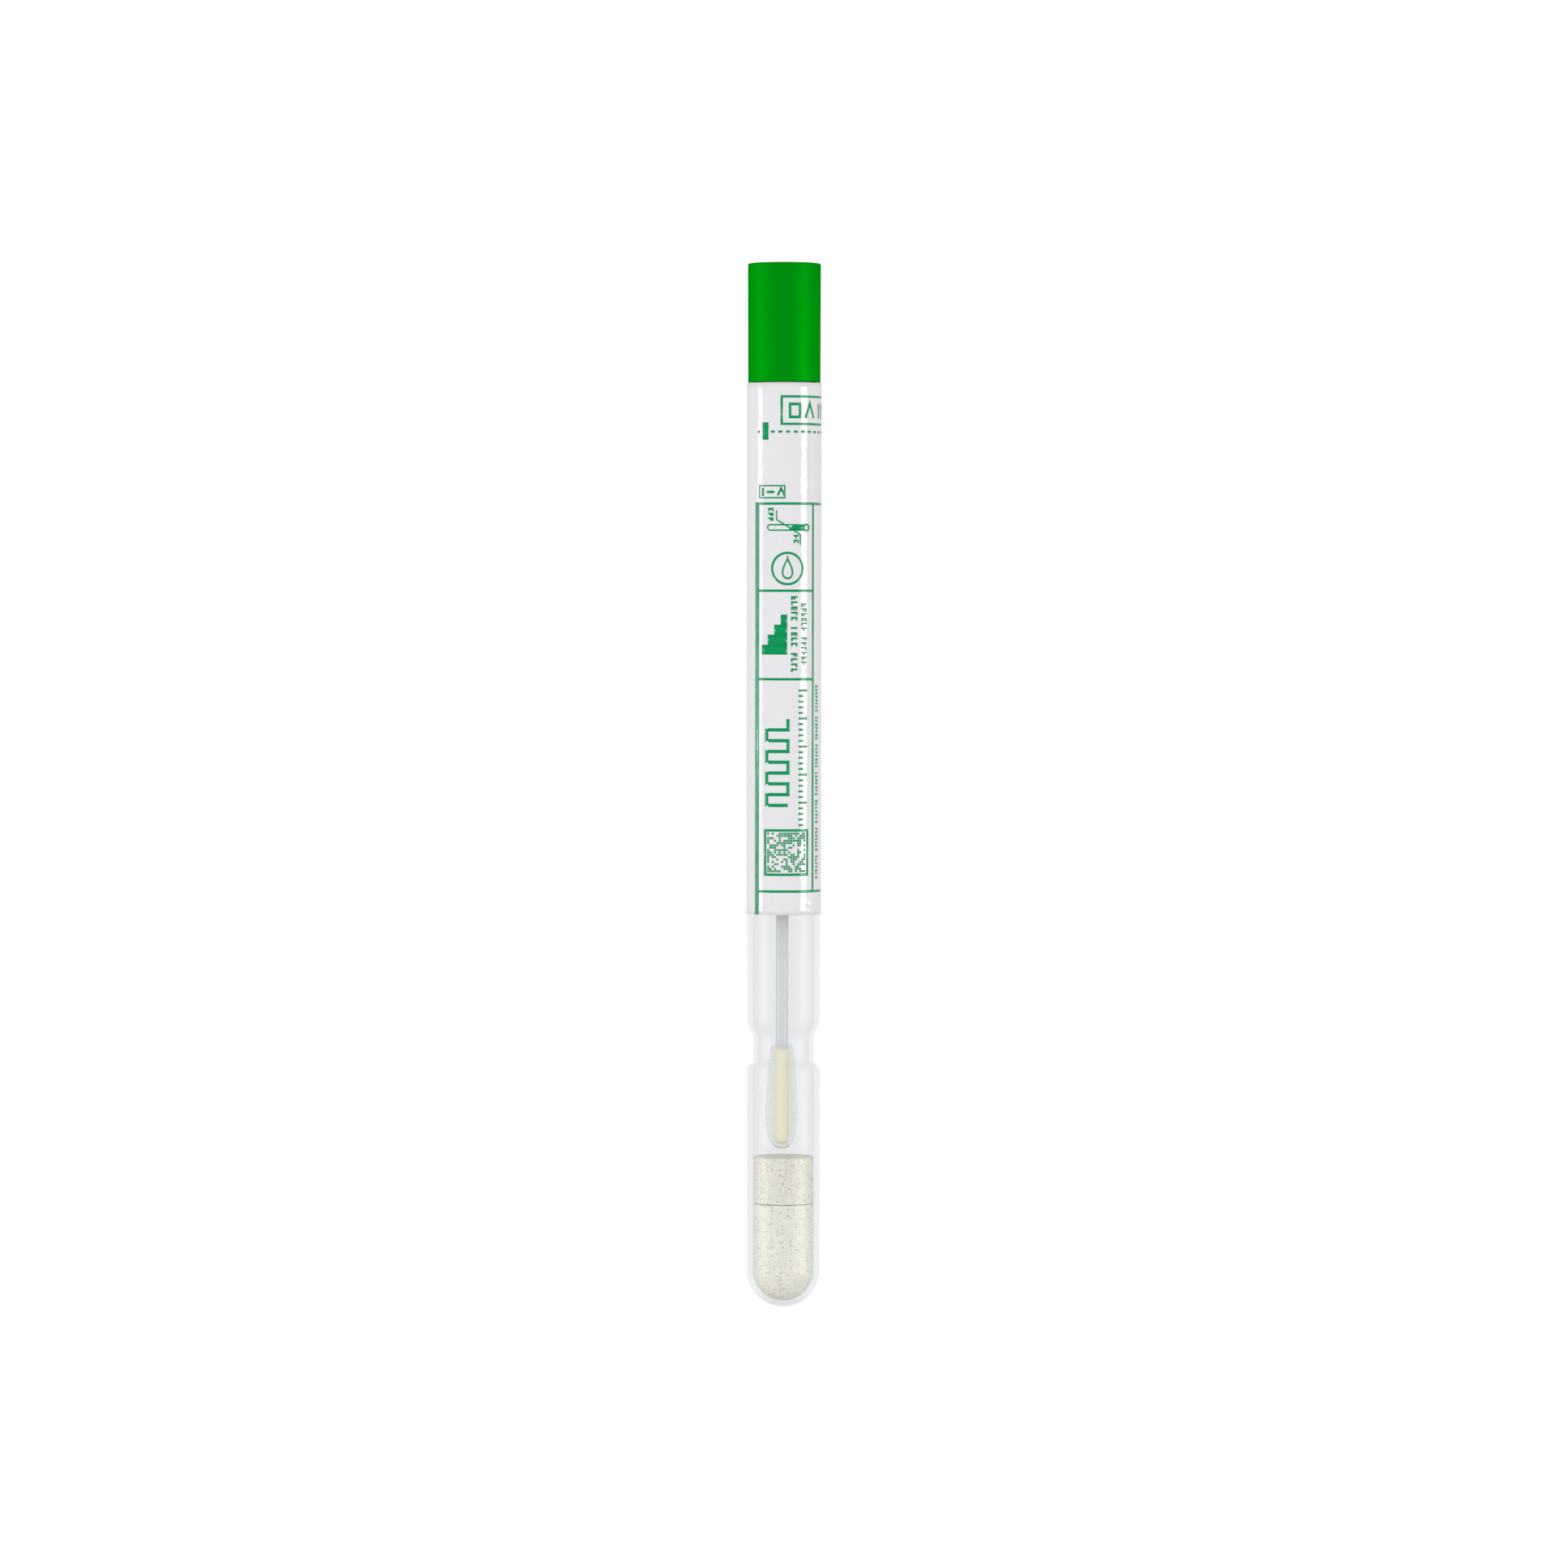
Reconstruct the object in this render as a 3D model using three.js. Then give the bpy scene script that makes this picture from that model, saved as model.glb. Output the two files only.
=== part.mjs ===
// Specimen swab tube: a round-ended plastic tube with a ring waist and a wrap label, closed by a plug cap.
// The cap carries the swab, a thin shaft with a fibre bud, whose end hangs just over two foam plugs.
// Units are millimetres, +Z is up. The tube lies on its label along Y, with the cap towards +Y.
// Every height below is measured along the tube from its closed round end.
import * as THREE from 'three';

const SIDES = 40; // flat facets round each turned piece; the edge between two of them is straight down
const FACET = (2 * Math.PI) / SIDES;

// Tube
const TUBE_RADIUS = 6.5;
const WALL = 1.0;
const BORE_RADIUS = TUBE_RADIUS - WALL;
const END_WALL = 1.0;
const SEAT_GAP = 0.05; // between the tube's rim and the cap's shoulder
const CAP_SEAT = 165.5;
const TUBE_RIM = CAP_SEAT - SEAT_GAP;
const RIM_ROUND = 0.25;
const END_STEPS = 9;

// Ring waist: the wall bends in all round, above the foam
const WAIST_RADIUS = 5.42;
const WAIST_BORE_RADIUS = 4.5;
const WAIST_BOTTOM = 42.8; // foot of the short lower slope
const WAIST_LOWER = 43.85;
const WAIST_UPPER = 48.7;
const WAIST_TOP = 50.9; // head of the long upper slope
const WAIST_INSET = 0.35; // how far the slopes of the bore start inside those of the outside

// Wrap label: a film wrapped once round the tube, with one end lapped over the other
const LABEL_BOTTOM = 70.5;
const LABEL_TOP = CAP_SEAT - 0.15;
const LABEL_THICKNESS = 0.12;
const ADHESIVE = 0.03;
const LABEL_INSIDE = TUBE_RADIUS + ADHESIVE;
const LABEL_RADIUS = LABEL_INSIDE + LABEL_THICKNESS;
const LAP_EDGE_DEG = 45; // free edge of the lap, measured from straight up towards -X, a whole number of facets
const LAP_END_DEG = 27; // the hidden end, under the lap

// Cap: one moulding with a solid crown, a hollow plug skirt and a boss that grips the shaft
const CAP_HEIGHT = 21.2;
const CAP_TOP = CAP_SEAT + CAP_HEIGHT;
const CAP_RADIUS_LOW = 6.46;
const CAP_RADIUS_HIGH = 6.52;
const CAP_EDGE_ROUND = 0.45;
const CAP_FOOT_ROUND = 0.12;
const CAP_ROOF = 1.8;
const PLUG_RADIUS = 5.38;
const PLUG_BORE_RADIUS = 4.4;
const PLUG_BOTTOM = 156.0;
const PLUG_LEAD = 0.9;
const PLUG_NOSE_RADIUS = 5.0;
const BEAD_RADIUS = 5.45;
const BEAD_WIDTH = 0.8;
const BEAD_HEIGHTS = [159.2, 162.2];
const BOSS_RADIUS = 2.2;
const BOSS_BOTTOM = 159.0;
const SOCKET_TOP = 178.6;

// Swab: shaft and fibre bud
const SHAFT_RADIUS = 1.1;
const SHAFT_SIDES = 24;
const SHAFT_BOTTOM = 30.6;
const SHAFT_TOP = 178.4;
const SHAFT_CLEARANCE = 0.05;
const SWAB_LEAN = 0.35; // towards -X, at the end of the bud
const SWAB_SAG = 0.7; // down, at the end of the bud, because the thin shaft is held only in the cap
const BUD_BOTTOM = 28.3;
const BUD_BELLY = 36.0; // height of the widest place
const BUD_TOP = 47.35;
const BUD_RADIUS = 2.85;
const BUD_NECK_RADIUS = 2.0;
const BUD_TAPER = 1.4; // powers of the bud's outline: higher ones keep it wide for longer, then turn in faster
const BUD_SHOULDER = 24;
const BUD_END = 2.8;
const BUD_STEPS = 14;

// Foam plugs
const FOAM_CLEARANCE = 0.08;
const FOAM_RADIUS = BORE_RADIUS - FOAM_CLEARANCE;
const FOAM_SPLIT = 18.6;
const FOAM_SPLIT_GAP = 0.05;
const FOAM_TOP = 27.0;
const FOAM_EDGE_ROUND = 0.35;

// Colours of the real materials
const CAP_GREEN = 0x008f18;
const LABEL_WHITE = 0xe8e7ea;
const TUBE_CLEAR = 0xe6e9ea;
const SHAFT_GREY = 0xced3d4;
const BUD_CREAM = 0xe6e3d2;
const FOAM_CREAM = 0xe9e6d8;

// Points of an arc about [radius, height], from one angle to another; 0 degrees points outwards, 90 up.
function arc(radius, height, bend, fromDegrees, toDegrees, steps) {
  return Array.from({ length: steps + 1 }, (_, step) => {
    const angle = THREE.MathUtils.degToRad(fromDegrees + ((toDegrees - fromDegrees) * step) / steps);
    return [radius + bend * Math.cos(angle), height + bend * Math.sin(angle)];
  });
}

// A solid turned about the tube's axis from [radius, height] points.
function turned(profile, sides = SIDES) {
  return new THREE.LatheGeometry(profile.map(([radius, height]) => new THREE.Vector2(radius, height)), sides);
}

function named(name, geometry, color, roughness, opacity = 1) {
  const material = new THREE.MeshStandardMaterial({
    color, roughness, metalness: 0, opacity, transparent: opacity < 1,
  });
  const mesh = new THREE.Mesh(geometry, material);
  mesh.name = name;
  return mesh;
}

// The outside runs up from the round end over the waist to the rim, and the bore runs back down.
function makeTube() {
  const roundEnd = arc(0, TUBE_RADIUS, TUBE_RADIUS, -90, 0, END_STEPS);
  const boreEnd = arc(0, END_WALL + BORE_RADIUS, BORE_RADIUS, 0, -90, END_STEPS);
  roundEnd[0][0] = 0;
  boreEnd[END_STEPS][0] = 0;
  const rimMiddle = [TUBE_RADIUS - RIM_ROUND, BORE_RADIUS + RIM_ROUND];
  return turned([
    ...roundEnd,
    [TUBE_RADIUS, WAIST_BOTTOM],
    [WAIST_RADIUS, WAIST_LOWER],
    [WAIST_RADIUS, WAIST_UPPER],
    [TUBE_RADIUS, WAIST_TOP],
    ...arc(rimMiddle[0], TUBE_RIM - RIM_ROUND, RIM_ROUND, 0, 90, 2),
    ...arc(rimMiddle[1], TUBE_RIM - RIM_ROUND, RIM_ROUND, 90, 180, 2),
    [BORE_RADIUS, WAIST_TOP - WAIST_INSET],
    [WAIST_BORE_RADIUS, WAIST_UPPER - WAIST_INSET],
    [WAIST_BORE_RADIUS, WAIST_LOWER + WAIST_INSET],
    [BORE_RADIUS, WAIST_BOTTOM + WAIST_INSET],
    ...boreEnd,
  ]);
}

// The film's section: a strip that starts at its hidden end, goes once round and climbs over that end.
function makeLabel() {
  const hiddenEnd = THREE.MathUtils.degToRad(LAP_END_DEG);
  const freeEnd = 2 * Math.PI + THREE.MathUtils.degToRad(LAP_EDGE_DEG);
  const steps = Math.round((freeEnd - hiddenEnd) / FACET);
  const angles = Array.from({ length: steps + 1 }, (_, step) => hiddenEnd + step * FACET);
  // Drawn with up as -Y, because turning the film on to the tube's line turns the section over
  const corner = (radius, angle) => {
    const onLap = angle > hiddenEnd + 2 * Math.PI - FACET / 2;
    const reach = radius + (onLap ? LABEL_THICKNESS + ADHESIVE : 0);
    return new THREE.Vector2(-reach * Math.sin(angle), -reach * Math.cos(angle));
  };
  const section = new THREE.Shape([
    ...angles.map((angle) => corner(LABEL_RADIUS, angle)),
    ...angles.map((angle) => corner(LABEL_INSIDE, angle)).reverse(),
  ]);
  const film = new THREE.ExtrudeGeometry(section, { depth: LABEL_TOP - LABEL_BOTTOM, bevelEnabled: false });
  return film.rotateX(-Math.PI / 2).translate(0, LABEL_BOTTOM, 0);
}

// From the crown's middle down the outside, round the plug with its sealing beads, and up into the socket.
function makeCap() {
  const bead = (height) => [
    [PLUG_RADIUS, height + BEAD_WIDTH / 2],
    [BEAD_RADIUS, height],
    [PLUG_RADIUS, height - BEAD_WIDTH / 2],
  ];
  const crown = arc(CAP_RADIUS_HIGH - CAP_EDGE_ROUND, CAP_TOP - CAP_EDGE_ROUND, CAP_EDGE_ROUND, 90, 0, 4);
  return turned([
    [0, CAP_TOP],
    ...crown,
    [CAP_RADIUS_LOW, CAP_SEAT + CAP_FOOT_ROUND],
    [CAP_RADIUS_LOW - CAP_FOOT_ROUND, CAP_SEAT],
    [PLUG_RADIUS, CAP_SEAT],
    ...[...BEAD_HEIGHTS].reverse().flatMap(bead),
    [PLUG_RADIUS, PLUG_BOTTOM + PLUG_LEAD],
    [PLUG_NOSE_RADIUS, PLUG_BOTTOM],
    [PLUG_BORE_RADIUS, PLUG_BOTTOM],
    [PLUG_BORE_RADIUS, CAP_TOP - CAP_ROOF],
    [BOSS_RADIUS, CAP_TOP - CAP_ROOF],
    [BOSS_RADIUS, BOSS_BOTTOM],
    [SHAFT_RADIUS + SHAFT_CLEARANCE, BOSS_BOTTOM],
    [SHAFT_RADIUS + SHAFT_CLEARANCE, SOCKET_TOP],
    [0, SOCKET_TOP],
  ].reverse());
}

// Tilts a piece of the swab below the cap's boss: its far end goes SWAB_LEAN sideways and SWAB_SAG down.
function leaning(geometry) {
  const position = geometry.attributes.position;
  for (let i = 0; i < position.count; i += 1) {
    const drop = Math.max(0, BOSS_BOTTOM - position.getY(i)) / (BOSS_BOTTOM - BUD_BOTTOM);
    position.setX(i, position.getX(i) - SWAB_LEAN * drop);
    position.setZ(i, position.getZ(i) - SWAB_SAG * drop);
  }
  return geometry;
}

function makeShaft() {
  return leaning(turned([
    [0, SHAFT_BOTTOM],
    [SHAFT_RADIUS, SHAFT_BOTTOM],
    [SHAFT_RADIUS, BOSS_BOTTOM],
    [SHAFT_RADIUS, SHAFT_TOP],
    [0, SHAFT_TOP],
  ], SHAFT_SIDES));
}

// The bud's outline: a blunt round end, a belly low down, a slow taper upwards and a tight shoulder.
function budRadius(height) {
  const below = Math.max(0, (BUD_BELLY - height) / (BUD_BELLY - BUD_BOTTOM));
  const above = Math.max(0, (height - BUD_BELLY) / (BUD_TOP - BUD_BELLY));
  const taper = BUD_RADIUS - (BUD_RADIUS - BUD_NECK_RADIUS) * above ** BUD_TAPER;
  return taper * (1 - below ** BUD_END) ** (1 / BUD_END) * (1 - above ** BUD_SHOULDER) ** 0.5;
}

function makeBud() {
  const boreRadius = SHAFT_RADIUS + SHAFT_CLEARANCE;
  const outline = Array.from({ length: BUD_STEPS }, (_, step) => {
    // Closer steps towards both ends, where the outline turns fastest
    const share = (1 - Math.cos((Math.PI * (step + 1)) / (BUD_STEPS + 1))) / 2;
    const height = BUD_BOTTOM + share * (BUD_TOP - BUD_BOTTOM);
    return [budRadius(height), height];
  });
  return leaning(turned([
    [0, BUD_BOTTOM],
    ...outline,
    [boreRadius, BUD_TOP],
    [boreRadius, SHAFT_BOTTOM - SHAFT_CLEARANCE],
    [0, SHAFT_BOTTOM - SHAFT_CLEARANCE],
  ], SHAFT_SIDES));
}

function makeLowerFoam() {
  const roundEnd = arc(0, END_WALL + BORE_RADIUS, FOAM_RADIUS, -90, 0, END_STEPS);
  roundEnd[0][0] = 0;
  return turned([
    ...roundEnd,
    [FOAM_RADIUS, FOAM_SPLIT - FOAM_SPLIT_GAP - FOAM_EDGE_ROUND],
    [FOAM_RADIUS - FOAM_EDGE_ROUND, FOAM_SPLIT - FOAM_SPLIT_GAP],
    [0, FOAM_SPLIT - FOAM_SPLIT_GAP],
  ]);
}

function makeUpperFoam() {
  return turned([
    [0, FOAM_SPLIT],
    [FOAM_RADIUS - FOAM_EDGE_ROUND, FOAM_SPLIT],
    [FOAM_RADIUS, FOAM_SPLIT + FOAM_EDGE_ROUND],
    [FOAM_RADIUS, FOAM_TOP - FOAM_EDGE_ROUND],
    [FOAM_RADIUS - FOAM_EDGE_ROUND, FOAM_TOP],
    [0, FOAM_TOP],
  ]);
}

const swabTube = new THREE.Group();
swabTube.position.set(0, -CAP_TOP / 2, LABEL_RADIUS); // lying on the label, centred along its length
swabTube.add(
  named('tube', makeTube(), TUBE_CLEAR, 0.15, 0.35),
  named('wrap_label', makeLabel(), LABEL_WHITE, 0.3),
  named('plug_cap', makeCap(), CAP_GREEN, 0.4),
  named('swab_shaft', makeShaft(), SHAFT_GREY, 0.35, 0.7),
  named('fibre_bud', makeBud(), BUD_CREAM, 0.9),
  named('lower_foam_plug', makeLowerFoam(), FOAM_CREAM, 0.95),
  named('upper_foam_plug', makeUpperFoam(), FOAM_CREAM, 0.95),
);

export default swabTube;
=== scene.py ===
# %% [markdown]
# # A specimen swab tube
# The real object is a clear plastic tube, closed by a green push-in cap. The cap carries a thin shaft with a
# fibre bud, which hangs just over two damp foam plugs. A printed film is wrapped round the tube. The tube
# lies on that film, so this lesson builds every piece round one horizontal axis. The frame gives the sizes
# and places. The lesson makes the fine surfaces, the print and the materials.

# %% Load the frame
import math

import bpy
import numpy as np
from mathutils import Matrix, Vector


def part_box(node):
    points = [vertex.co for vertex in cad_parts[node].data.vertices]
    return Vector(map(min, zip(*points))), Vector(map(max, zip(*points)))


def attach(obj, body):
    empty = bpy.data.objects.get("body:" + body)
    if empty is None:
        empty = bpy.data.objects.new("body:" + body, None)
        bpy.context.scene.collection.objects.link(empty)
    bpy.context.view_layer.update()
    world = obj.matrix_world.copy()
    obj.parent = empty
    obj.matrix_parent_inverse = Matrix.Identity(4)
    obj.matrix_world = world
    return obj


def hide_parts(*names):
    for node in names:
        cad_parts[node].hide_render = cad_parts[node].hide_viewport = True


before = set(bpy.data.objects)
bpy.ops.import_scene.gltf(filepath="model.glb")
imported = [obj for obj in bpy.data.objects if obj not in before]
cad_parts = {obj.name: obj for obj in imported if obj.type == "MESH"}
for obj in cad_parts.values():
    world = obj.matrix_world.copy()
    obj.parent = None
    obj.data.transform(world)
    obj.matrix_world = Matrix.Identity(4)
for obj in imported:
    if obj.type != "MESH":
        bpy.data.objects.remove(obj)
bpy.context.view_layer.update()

# %% [markdown]
# ## Tube coordinates
# Everything on the real object is turned about one axis, so it is easiest to think in millimetres from the
# tube's closed end: x across, y the height along the tube, z up from the axis. One function turns such points
# into the frame's metres, and the sizes that the frame can give are read from it.

# %% Measure the frame
MM = 0.001
tube_low, tube_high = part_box("tube")
AXIS = Vector((0, tube_low.y, (tube_low.z + tube_high.z) / 2))  # the closed end, on the axis


def radius_of(node):
    """Half the width of a node across the tube, in millimetres."""
    low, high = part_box(node)
    return (high.x - low.x) / 2 / MM


def span_of(node):
    """The lowest and highest height of a node along the tube, in millimetres."""
    low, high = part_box(node)
    return (low.y - AXIS.y) / MM, (high.y - AXIS.y) / MM


def to_frame(points):
    """Tube coordinates in millimetres to the frame's metres."""
    return np.asarray(points, float) * MM + np.array(AXIS)


TUBE_RADIUS = radius_of("tube")
TUBE_RIM = span_of("tube")[1]
LABEL_RADIUS = radius_of("wrap_label")
LABEL_BOTTOM, LABEL_TOP = span_of("wrap_label")
CAP_RADIUS = radius_of("plug_cap")
PLUG_BOTTOM, CAP_TOP = span_of("plug_cap")
SHAFT_BOTTOM, SHAFT_TOP = span_of("swab_shaft")
BUD_BOTTOM, BUD_TOP = span_of("fibre_bud")
FOAM_RADIUS = radius_of("lower_foam_plug")
FOAM_BOTTOM, FOAM_SPLIT = span_of("lower_foam_plug")
FOAM_JOINT, FOAM_TOP = span_of("upper_foam_plug")
print(f"tube {2 * TUBE_RADIUS:.1f} mm across, cap top at {CAP_TOP:.1f} mm, axis {AXIS.z / MM:.2f} mm up")

# %% [markdown]
# ## Camera
# The tube is seen squarely from above, from far enough away that its sides look parallel. The camera stands a
# little towards the cap, so it looks slightly down into the tube: the foam's upper face shows as a thin lens.

# %% Place the camera
CAMERA_HEIGHT = 1.150
CAMERA_TOWARDS_CAP = 0.029
CAMERA_AIM = 0.00036  # the middle of the picture, from the middle of the object towards the cap
CAMERA_ROLL = math.radians(0.075)  # the tube stands a hair out of square in the picture
CAMERA_LENS = 147.5
CAMERA_SENSOR = 36.0

camera_data = bpy.data.cameras.new("camera")
camera_data.lens = CAMERA_LENS
camera_data.sensor_width = CAMERA_SENSOR
camera = bpy.data.objects.new("camera", camera_data)
camera.location = (0, CAMERA_AIM + CAMERA_TOWARDS_CAP, AXIS.z + CAMERA_HEIGHT)
camera.rotation_euler = (-math.atan2(CAMERA_TOWARDS_CAP, CAMERA_HEIGHT), 0, CAMERA_ROLL)  # +Y is up
bpy.context.scene.collection.objects.link(camera)
bpy.context.scene.camera = camera
bpy.context.scene.view_settings.view_transform = "Standard"

# %% [markdown]
# ## Surfaces from arrays
# A mesh needs a list of points and a list of faces. Both come from numpy: the points of a whole surface are
# worked out at once from two parameters, and the faces join each grid point to its neighbours. Smooth shading
# hides the facets, and edges that turn by more than a set angle stay crisp.

# %% Mesh helpers
CRISP = math.radians(40)


def add_mesh(name, points, faces, material, crisp=CRISP):
    """Makes an object from points in tube coordinates. Its origin is the frame's origin."""
    mesh = bpy.data.meshes.new(name)
    mesh.from_pydata(to_frame(points).tolist(), [], [face.tolist() for group in faces for face in group])
    mesh.validate()
    mesh.shade_smooth()
    mesh.set_sharp_from_angle(angle=crisp)
    mesh.materials.append(material)
    made = bpy.data.objects.new(name, mesh)
    bpy.context.scene.collection.objects.link(made)
    print(f"{name}: {len(mesh.vertices)} points, {len(mesh.polygons)} faces")
    return made


def grid_faces(rows, columns, first=0, closed=False):
    """Quads that join a grid of points, row by row. A closed grid joins its last column to its first."""
    index = first + np.arange(rows * columns).reshape(rows, columns)
    right = np.roll(index, -1, axis=1)
    if not closed:
        index, right = index[:, :-1], right[:, :-1]
    return np.stack([index[:-1], right[:-1], right[1:], index[1:]], axis=-1).reshape(-1, 4)


def turned(outline, sides=160):
    """Turns an outline of (radius, height) points about the axis: x = r sin a, z = r cos a, for a once round.
    The outline starts and ends on the axis, and runs up the outside, so the faces point outwards."""
    radius, height = np.asarray(outline, float).T
    angle = np.linspace(0, 2 * np.pi, sides, endpoint=False)
    across = np.outer(radius[1:-1], np.sin(angle)).ravel()
    up = np.outer(radius[1:-1], np.cos(angle)).ravel()
    along = np.repeat(height[1:-1], sides)
    points = np.vstack([np.column_stack([across, along, up]), [0, height[0], 0], [0, height[-1], 0]])
    rows = len(radius) - 2
    ring = np.arange(sides)
    after = np.roll(ring, -1)
    last = (rows - 1) * sides
    start_cap = np.column_stack([np.full(sides, rows * sides), after, ring])
    end_cap = np.column_stack([np.full(sides, rows * sides + 1), last + ring, last + after])
    return points, [grid_faces(rows, sides, closed=True), start_cap, end_cap]


def unit(vectors):
    """The same directions, one long. A zero vector stays zero."""
    length = np.linalg.norm(vectors, axis=-1, keepdims=True)
    return vectors / np.where(length > 0, length, 1)


def rounded(corners, steps=6):
    """Joins (radius, height, bend) corners by straight lines, and rounds each with an arc that touches both.
    The arc's ends are bend / tan(h) from the corner and its centre bend / sin(h), for lines 2h apart."""
    corners = np.asarray(corners, float)
    place, bend = corners[:, :2], corners[1:-1, 2:]
    back, ahead = unit(place[:-2] - place[1:-1]), unit(place[2:] - place[1:-1])
    half = np.arccos(np.clip((back * ahead).sum(1, keepdims=True), -1, 1)) / 2
    centre = place[1:-1] + unit(back + ahead) * bend / np.sin(half)
    start = place[1:-1] + back * bend / np.tan(half) - centre
    end = place[1:-1] + ahead * bend / np.tan(half) - centre
    share = np.linspace(0, 1, steps + 1)[None, :, None]
    turn = np.maximum(np.pi - 2 * half, 1e-6)[:, None, :]
    weights = np.sin((1 - share) * turn), np.sin(share * turn)
    arcs = centre[:, None] + (weights[0] * start[:, None] + weights[1] * end[:, None]) / np.sin(turn)
    line = np.vstack([place[:1], arcs.reshape(-1, 2), place[-1:]])
    apart = np.linalg.norm(np.diff(line, axis=0), axis=1) > 1e-6
    return line[np.concatenate([[True], apart])]


def arc(radius, height, bend, start, end, steps):
    """Points of an arc about (radius, height), between two angles: 0 is outwards and 90 towards the cap."""
    angle = np.radians(np.linspace(start, end, steps + 1))
    return np.column_stack([radius + bend * np.cos(angle), height + bend * np.sin(angle)])


def finer(outline, step):
    """Adds points to an outline so that none are further apart than step."""
    outline = np.asarray(outline, float)
    lengths = np.linalg.norm(np.diff(outline, axis=0), axis=1)
    count = np.maximum(np.ceil(lengths / step).astype(int), 1)
    share = np.concatenate([np.arange(n) / n for n in count] + [[0]])
    piece = np.repeat(np.arange(len(count)), count)
    piece = np.append(piece, len(count) - 1)
    share[-1] = 1
    return outline[piece] + (outline[piece + 1] - outline[piece]) * share[:, None]


def lumps(points, cell, seed):
    """Smooth random values from -1 to 1: random numbers at the corners of cubes, blended in between."""
    table = np.random.default_rng(seed).uniform(-1, 1, (32, 32, 32))
    place = np.asarray(points) / cell
    corner = np.floor(place).astype(int)
    share = place - corner
    share = share * share * (3 - 2 * share)
    value = 0
    for dx, dy, dz in np.ndindex(2, 2, 2):
        weight = np.prod(np.where([dx, dy, dz], share, 1 - share), axis=1)
        value = value + weight * table[tuple(((corner + [dx, dy, dz]) % 32).T)]
    return value


# %% [markdown]
# ## Nodes
# A material is a small tree of nodes. One helper adds a node, sets its properties and fills its sockets, so a
# tree reads as a list. Effects that several materials share are node groups with named inputs and outputs.

# %% Node helpers
def node(tree, kind, sockets=None, **settings):
    """Adds one shader node. sockets maps an input's name or number to a value or to the output feeding it."""
    made = tree.nodes.new("ShaderNode" + kind)
    for key, value in settings.items():
        setattr(made, key, value)
    for key, value in (sockets or {}).items():
        if isinstance(value, bpy.types.NodeSocket):
            tree.links.new(value, made.inputs[key])
        else:
            made.inputs[key].default_value = value
    return made


def new_material(name):
    """An empty material. Returns it, its tree and the socket for its surface."""
    made = bpy.data.materials.new(name)
    made.use_nodes = True
    made.node_tree.nodes.clear()
    output = made.node_tree.nodes.new("ShaderNodeOutputMaterial")
    return made, made.node_tree, output.inputs["Surface"]


def new_group(name, inputs, outputs):
    """An empty shader node group. inputs are (name, kind, value) and outputs (name, kind)."""
    tree = bpy.data.node_groups.new(name, "ShaderNodeTree")
    for label, kind, value in inputs:
        socket = tree.interface.new_socket(label, in_out="INPUT", socket_type="NodeSocket" + kind)
        socket.default_value = value
    for label, kind in outputs:
        tree.interface.new_socket(label, in_out="OUTPUT", socket_type="NodeSocket" + kind)
    return tree, tree.nodes.new("NodeGroupInput").outputs, tree.nodes.new("NodeGroupOutput").inputs


def place_group(tree, group, sockets):
    """Puts a node group into a tree and fills its inputs."""
    return node(tree, "Group", sockets, node_tree=group).outputs


def reckon(tree, operation, *terms, **settings):
    """The value of a Math node over the terms."""
    return node(tree, "Math", dict(enumerate(terms)), operation=operation, **settings).outputs[0]


def noise(tree, place, scale, detail, **more):
    """Smooth random values from 0 to 1."""
    sockets = {"Vector": place, "Scale": scale, "Detail": detail, **more}
    return node(tree, "TexNoise", sockets).outputs["Fac"]


def drawn(tree, place, along):
    """Coordinates that draw a pattern out along the tube, or round it where along is more than 1."""
    return node(tree, "Mapping", {"Vector": place, "Scale": (1, along, 1)}).outputs["Vector"]


def blend(tree, share, first, second):
    """A colour between two."""
    return node(tree, "Mix", {0: share, 6: first, 7: second}, data_type="RGBA").outputs[2]


def ramp(tree, value, low, high):
    """How far a value is on its way from low to high, from 0 to 1."""
    return node(tree, "MapRange", {0: value, 1: low, 2: high}).outputs[0]


def bumps(tree, height, strength, depth):
    """A normal that follows a height. depth is in millimetres."""
    sockets = {"Strength": strength, "Distance": depth * MM, "Height": height}
    return node(tree, "Bump", sockets).outputs["Normal"]


# %% [markdown]
# ## Moulded skin
# No moulded plastic is quite even. Its tone drifts a little along the flow of the melt, its gloss varies from
# place to place, and a fine grain lies over it. The tube, the cap and the shaft all have this, each to its
# own degree, so it is one node group: a tone to multiply the colour by, a roughness and a normal.

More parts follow.
